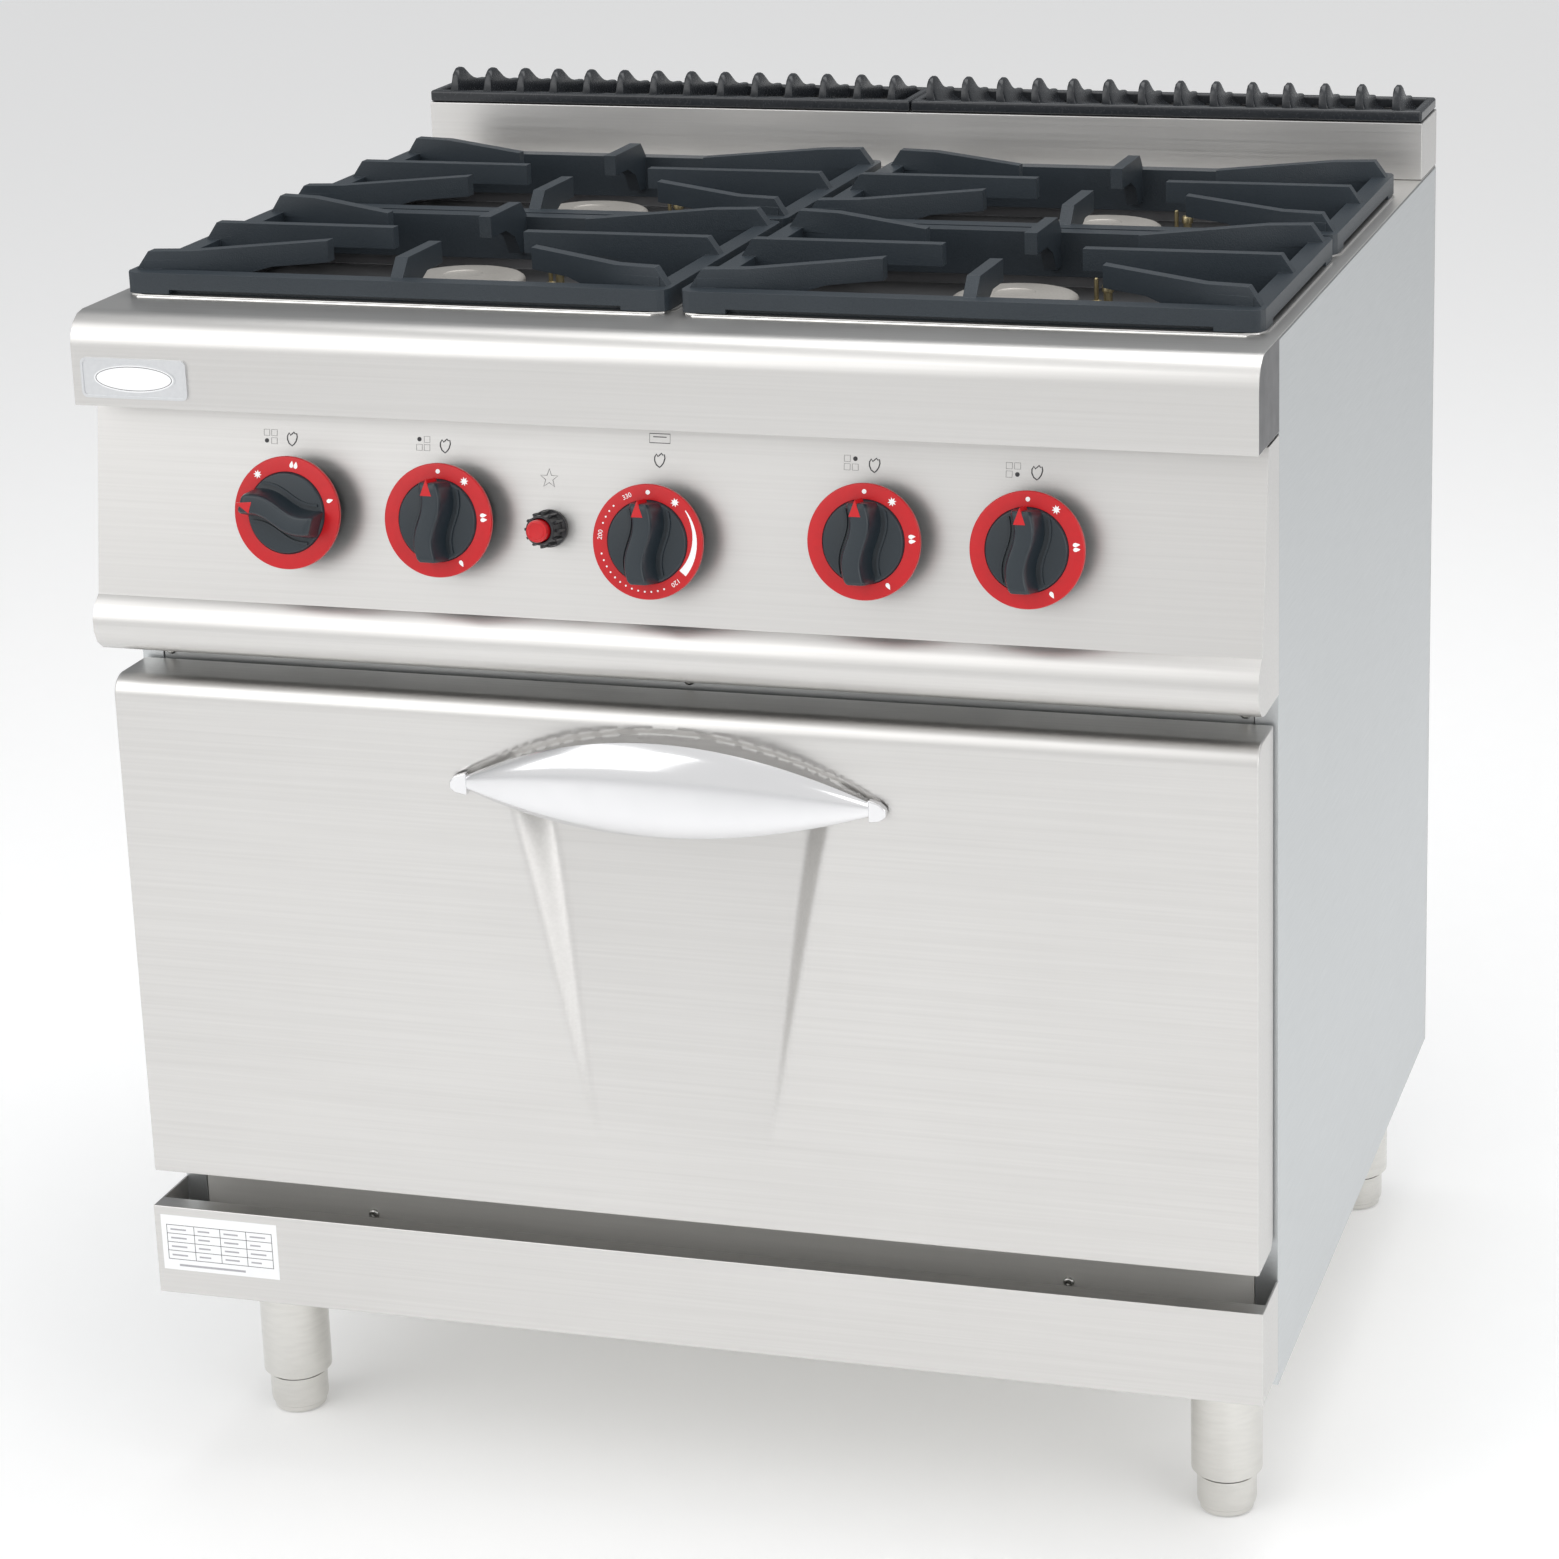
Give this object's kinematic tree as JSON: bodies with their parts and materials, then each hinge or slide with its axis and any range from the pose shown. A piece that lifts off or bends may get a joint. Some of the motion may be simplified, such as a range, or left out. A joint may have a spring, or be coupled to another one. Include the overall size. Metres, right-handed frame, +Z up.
{
  "type": "commercial gas range",
  "caption": "Free-standing gas range: cast trivets over open burners on a pressed worktop, sloped control panel with rotary knobs, drop-down oven door, rear flue riser, adjustable legs.",
  "frame": {"origin": "on the floor, under the middle of the whole range", "axes": "+X to the cook's right, +Y to the rear, +Z up; the cook stands on the -Y side"},
  "size_m": [0.8, 0.7268, 0.92],
  "materials": {
    "stainless": "brushed, horizontal grain",
    "stainless_side": "fine brushed, cool grey",
    "inner_steel": "dull mill finish",
    "leg_steel": "polished tube",
    "trivet_iron": "satin enamelled casting",
    "flue_iron": "gloss black enamelled casting",
    "burner_cap": "as-cast, matt",
    "burner_casting": "as-cast, matt",
    "brass": "machined",
    "knob_black": "moulded, satin gloss",
    "signal_red": "moulded, gloss",
    "igniter_black": "moulded, ribbed",
    "pipe_steel": "zinc-coated pipe",
    "chrome": "mirror plated",
    "rack_wire": "plated wire",
    "seal_rubber": "moulded silicone"
  },
  "bodies": {
    "chassis": {"side_panel_left": "stainless_side", "side_panel_right": "stainless_side", "rear_panel": "inner_steel", "base_pan": "inner_steel", "plinth": "stainless", "worktop": "stainless", "riser": "stainless", "flue_grate_left": "flue_iron", "flue_grate_right": "flue_iron", "control_panel": "stainless", "gas_manifold": "pipe_steel", "igniter_body": "igniter_black", "oven_liner": "inner_steel", "oven_floor": "inner_steel", "rack_support_left": "rack_wire", "rack_support_right": "rack_wire", "oven_burner": "inner_steel", "hinge_left": "inner_steel", "hinge_right": "inner_steel", "door_seal": "seal_rubber", "valve_front_left": "brass", "valve_rear_left": "brass", "valve_oven": "brass", "valve_rear_right": "brass", "valve_front_right": "brass", "burner_body_front_left": "burner_casting", "burner_body_front_right": "burner_casting", "burner_body_rear_left": "burner_casting", "burner_body_rear_right": "burner_casting", "leg_front_left": "leg_steel", "leg_front_right": "leg_steel", "leg_rear_left": "leg_steel", "leg_rear_right": "leg_steel"},
    "spindle_front_left": {"spindle_front_left": "brass"},
    "knob_front_left": {"knob_front_left": "knob_black"},
    "spindle_rear_left": {"spindle_rear_left": "brass"},
    "knob_rear_left": {"knob_rear_left": "knob_black"},
    "spindle_oven": {"spindle_oven": "brass"},
    "knob_oven": {"knob_oven": "knob_black"},
    "spindle_rear_right": {"spindle_rear_right": "brass"},
    "knob_rear_right": {"knob_rear_right": "knob_black"},
    "spindle_front_right": {"spindle_front_right": "brass"},
    "knob_front_right": {"knob_front_right": "knob_black"},
    "trivet_front_left": {"trivet_front_left": "trivet_iron"},
    "burner_cap_front_left": {"burner_cap_front_left": "burner_cap"},
    "trivet_front_right": {"trivet_front_right": "trivet_iron"},
    "burner_cap_front_right": {"burner_cap_front_right": "burner_cap"},
    "trivet_rear_left": {"trivet_rear_left": "trivet_iron"},
    "burner_cap_rear_left": {"burner_cap_rear_left": "burner_cap"},
    "trivet_rear_right": {"trivet_rear_right": "trivet_iron"},
    "burner_cap_rear_right": {"burner_cap_rear_right": "burner_cap"},
    "foot_front_left": {"foot_front_left": "leg_steel"},
    "foot_front_right": {"foot_front_right": "leg_steel"},
    "foot_rear_left": {"foot_rear_left": "leg_steel"},
    "foot_rear_right": {"foot_rear_right": "leg_steel"},
    "igniter_button": {"igniter_button": "signal_red"},
    "oven_rack": {"oven_rack": "rack_wire"},
    "oven_door": {"door_skin": "stainless", "door_inner": "inner_steel", "door_handle": "chrome"}
  },
  "joints": [
    {"name": "oven_door", "type": "hinge", "parent": "chassis", "child": "oven_door", "pos_m": [0, -0.28613, 0.2419], "axis": [1, 0, 0], "range_deg": [0, 90]},
    {"name": "push_front_left", "type": "slide", "parent": "chassis", "child": "spindle_front_left", "axis": [0, 0.9858, -0.1681], "range_m": [0, 0.003], "stiffness_N_per_m": 1500, "springref_m": -0.002},
    {"name": "turn_front_left", "type": "hinge", "parent": "spindle_front_left", "child": "knob_front_left", "pos_m": [-0.252, -0.31632, 0.7185], "axis": [0, -0.9858, 0.1681], "range_deg": [-75, 75]},
    {"name": "push_rear_left", "type": "slide", "parent": "chassis", "child": "spindle_rear_left", "axis": [0, 0.9858, -0.1681], "range_m": [0, 0.003], "stiffness_N_per_m": 1500, "springref_m": -0.002},
    {"name": "turn_rear_left", "type": "hinge", "parent": "spindle_rear_left", "child": "knob_rear_left", "pos_m": [-0.145, -0.31632, 0.7185], "axis": [0, -0.9858, 0.1681], "range_deg": [0, 150]},
    {"name": "push_oven", "type": "slide", "parent": "chassis", "child": "spindle_oven", "axis": [0, 0.9858, -0.1681], "range_m": [0, 0.003], "stiffness_N_per_m": 1500, "springref_m": -0.002},
    {"name": "turn_oven", "type": "hinge", "parent": "spindle_oven", "child": "knob_oven", "pos_m": [0, -0.31751, 0.7115], "axis": [0, -0.9858, 0.1681], "range_deg": [0, 340]},
    {"name": "push_rear_right", "type": "slide", "parent": "chassis", "child": "spindle_rear_right", "axis": [0, 0.9858, -0.1681], "range_m": [0, 0.003], "stiffness_N_per_m": 1500, "springref_m": -0.002},
    {"name": "turn_rear_right", "type": "hinge", "parent": "spindle_rear_right", "child": "knob_rear_right", "pos_m": [0.145, -0.31632, 0.7185], "axis": [0, -0.9858, 0.1681], "range_deg": [0, 150]},
    {"name": "push_front_right", "type": "slide", "parent": "chassis", "child": "spindle_front_right", "axis": [0, 0.9858, -0.1681], "range_m": [0, 0.003], "stiffness_N_per_m": 1500, "springref_m": -0.002},
    {"name": "turn_front_right", "type": "hinge", "parent": "spindle_front_right", "child": "knob_front_right", "pos_m": [0.252, -0.31632, 0.7185], "axis": [0, -0.9858, 0.1681], "range_deg": [0, 150]},
    {"name": "lift_trivet_front_left", "type": "slide", "parent": "chassis", "child": "trivet_front_left", "axis": [0, 0, 1], "range_m": [0, 0.1]},
    {"name": "lift_burner_cap_front_left", "type": "slide", "parent": "chassis", "child": "burner_cap_front_left", "axis": [0, 0, 1], "range_m": [0, 0.1]},
    {"name": "lift_trivet_front_right", "type": "slide", "parent": "chassis", "child": "trivet_front_right", "axis": [0, 0, 1], "range_m": [0, 0.1]},
    {"name": "lift_burner_cap_front_right", "type": "slide", "parent": "chassis", "child": "burner_cap_front_right", "axis": [0, 0, 1], "range_m": [0, 0.1]},
    {"name": "lift_trivet_rear_left", "type": "slide", "parent": "chassis", "child": "trivet_rear_left", "axis": [0, 0, 1], "range_m": [0, 0.1]},
    {"name": "lift_burner_cap_rear_left", "type": "slide", "parent": "chassis", "child": "burner_cap_rear_left", "axis": [0, 0, 1], "range_m": [0, 0.1]},
    {"name": "lift_trivet_rear_right", "type": "slide", "parent": "chassis", "child": "trivet_rear_right", "axis": [0, 0, 1], "range_m": [0, 0.1]},
    {"name": "lift_burner_cap_rear_right", "type": "slide", "parent": "chassis", "child": "burner_cap_rear_right", "axis": [0, 0, 1], "range_m": [0, 0.1]},
    {"name": "extend_foot_front_left", "type": "slide", "parent": "chassis", "child": "foot_front_left", "axis": [0, 0, -1], "range_m": [0, 0.03]},
    {"name": "extend_foot_front_right", "type": "slide", "parent": "chassis", "child": "foot_front_right", "axis": [0, 0, -1], "range_m": [0, 0.03]},
    {"name": "extend_foot_rear_left", "type": "slide", "parent": "chassis", "child": "foot_rear_left", "axis": [0, 0, -1], "range_m": [0, 0.03]},
    {"name": "extend_foot_rear_right", "type": "slide", "parent": "chassis", "child": "foot_rear_right", "axis": [0, 0, -1], "range_m": [0, 0.03]},
    {"name": "press_igniter", "type": "slide", "parent": "chassis", "child": "igniter_button", "axis": [0, 0.9858, -0.1681], "range_m": [0, 0.004], "stiffness_N_per_m": 900, "springref_m": -0.002},
    {"name": "slide_oven_rack", "type": "slide", "parent": "chassis", "child": "oven_rack", "axis": [0, -1, 0], "range_m": [0, 0.02]}
  ]
}
